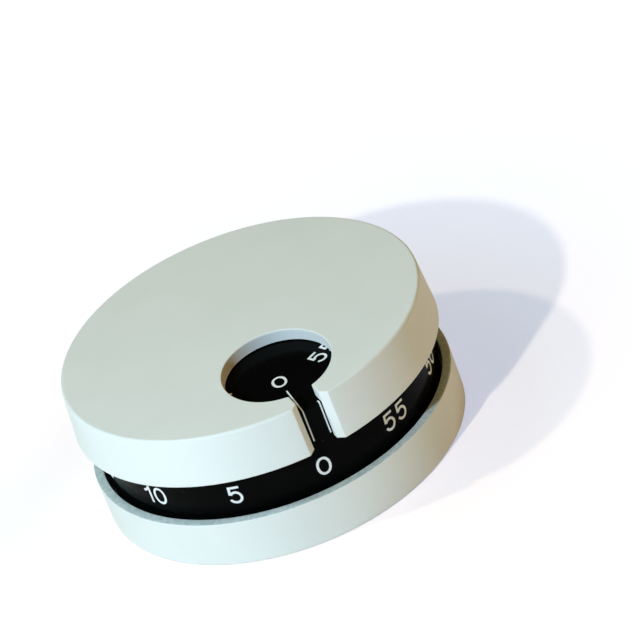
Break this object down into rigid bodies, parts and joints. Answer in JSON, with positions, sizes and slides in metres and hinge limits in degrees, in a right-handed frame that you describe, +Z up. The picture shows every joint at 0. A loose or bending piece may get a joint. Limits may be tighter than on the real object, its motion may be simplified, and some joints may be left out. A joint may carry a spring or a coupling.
{
  "type": "mechanical kitchen timer",
  "caption": "Round wind-up kitchen timer: white base and turning cap around a black numbered dial drum, with an oval reading window, a rim slot, and a geared movement with a bell inside.",
  "frame": {"origin": "centre of the rest face on the underside of the base", "axes": "+Z up along the turning axis; -Y towards the cap's slot at rest, which is the front"},
  "size_m": [0.068, 0.0678, 0.0272],
  "materials": {
    "white_case": "satin moulded white plastic",
    "black_dial": "glossy black plastic with printed white numbers",
    "brass": "stamped, slightly brushed",
    "steel": "turned",
    "spring_steel": "blued strip",
    "bell_metal": "nickel-plated"
  },
  "bodies": {
    "case": {"base_shell": "white_case", "dial_drum": "black_dial", "case_screws": "steel", "lower_plate": "brass", "upper_plate": "brass", "plate_spacers": "brass", "movement_screws": "steel", "arbor_bushes": "brass", "bell": "bell_metal", "bell_screw": "steel", "mainspring": "spring_steel", "spring_post": "steel", "stop_pin": "steel", "hammer_spring": "spring_steel"},
    "cap": {"turning_cap": "white_case", "main_arbor": "steel", "arbor_clip": "spring_steel", "spring_collet": "brass", "ratchet_wheel": "brass", "main_wheel": "brass", "click_post": "steel", "click_spring": "spring_steel", "zero_cam": "brass", "stop_arm": "steel"},
    "click": {"click": "steel"},
    "second": {"second_arbor": "steel", "second_wheel": "brass"},
    "third": {"third_arbor": "steel", "third_wheel": "brass"},
    "escape": {"escape_arbor": "steel", "escape_wheel": "brass"},
    "pallet": {"pallet_arbor": "steel", "pallet_lever": "brass", "pallet_pins": "steel", "balance_bar": "brass"},
    "hammer": {"hammer_arbor": "steel", "hammer_arm": "steel", "hammer_head": "brass", "hammer_tail": "steel"}
  },
  "joints": [
    {"name": "cap_turn", "type": "hinge", "parent": "case", "child": "cap", "pos_m": [0, 0, 0], "axis": [0, 0, -1], "range_deg": [0, 345], "stiffness_Nm_per_rad": 0.004, "springref_deg": -85.94, "deforming": ["mainspring"]},
    {"name": "click_pivot", "type": "hinge", "parent": "cap", "child": "click", "pos_m": [0.0056, -0.0047, 0], "axis": [0, 0, 1], "range_deg": [0, 10], "stiffness_Nm_per_rad": 0.00001, "deforming": ["click_spring"]},
    {"name": "second_spin", "type": "hinge", "parent": "case", "child": "second", "pos_m": [0, 0.01225, 0], "axis": [0, 0, -1], "continuous": true},
    {"name": "third_spin", "type": "hinge", "parent": "case", "child": "third", "pos_m": [0.00822, 0.01396, 0], "axis": [0, 0, -1], "continuous": true},
    {"name": "escape_spin", "type": "hinge", "parent": "case", "child": "escape", "pos_m": [0.01433, 0.00819, 0], "axis": [0, 0, -1], "continuous": true},
    {"name": "pallet_swing", "type": "hinge", "parent": "case", "child": "pallet", "pos_m": [0.01602, 0.00186, 0], "axis": [0, 0, 1], "range_deg": [-6, 6]},
    {"name": "hammer_swing", "type": "hinge", "parent": "case", "child": "hammer", "pos_m": [-0.0159, 0.00139, 0], "axis": [0, 0, 1], "range_deg": [0, 7], "deforming": ["hammer_spring"]}
  ],
  "couplings": [
    {"joint": "second_spin", "follows": "cap_turn", "ratio": -6},
    {"joint": "third_spin", "follows": "cap_turn", "ratio": 36},
    {"joint": "escape_spin", "follows": "cap_turn", "ratio": -216}
  ]
}
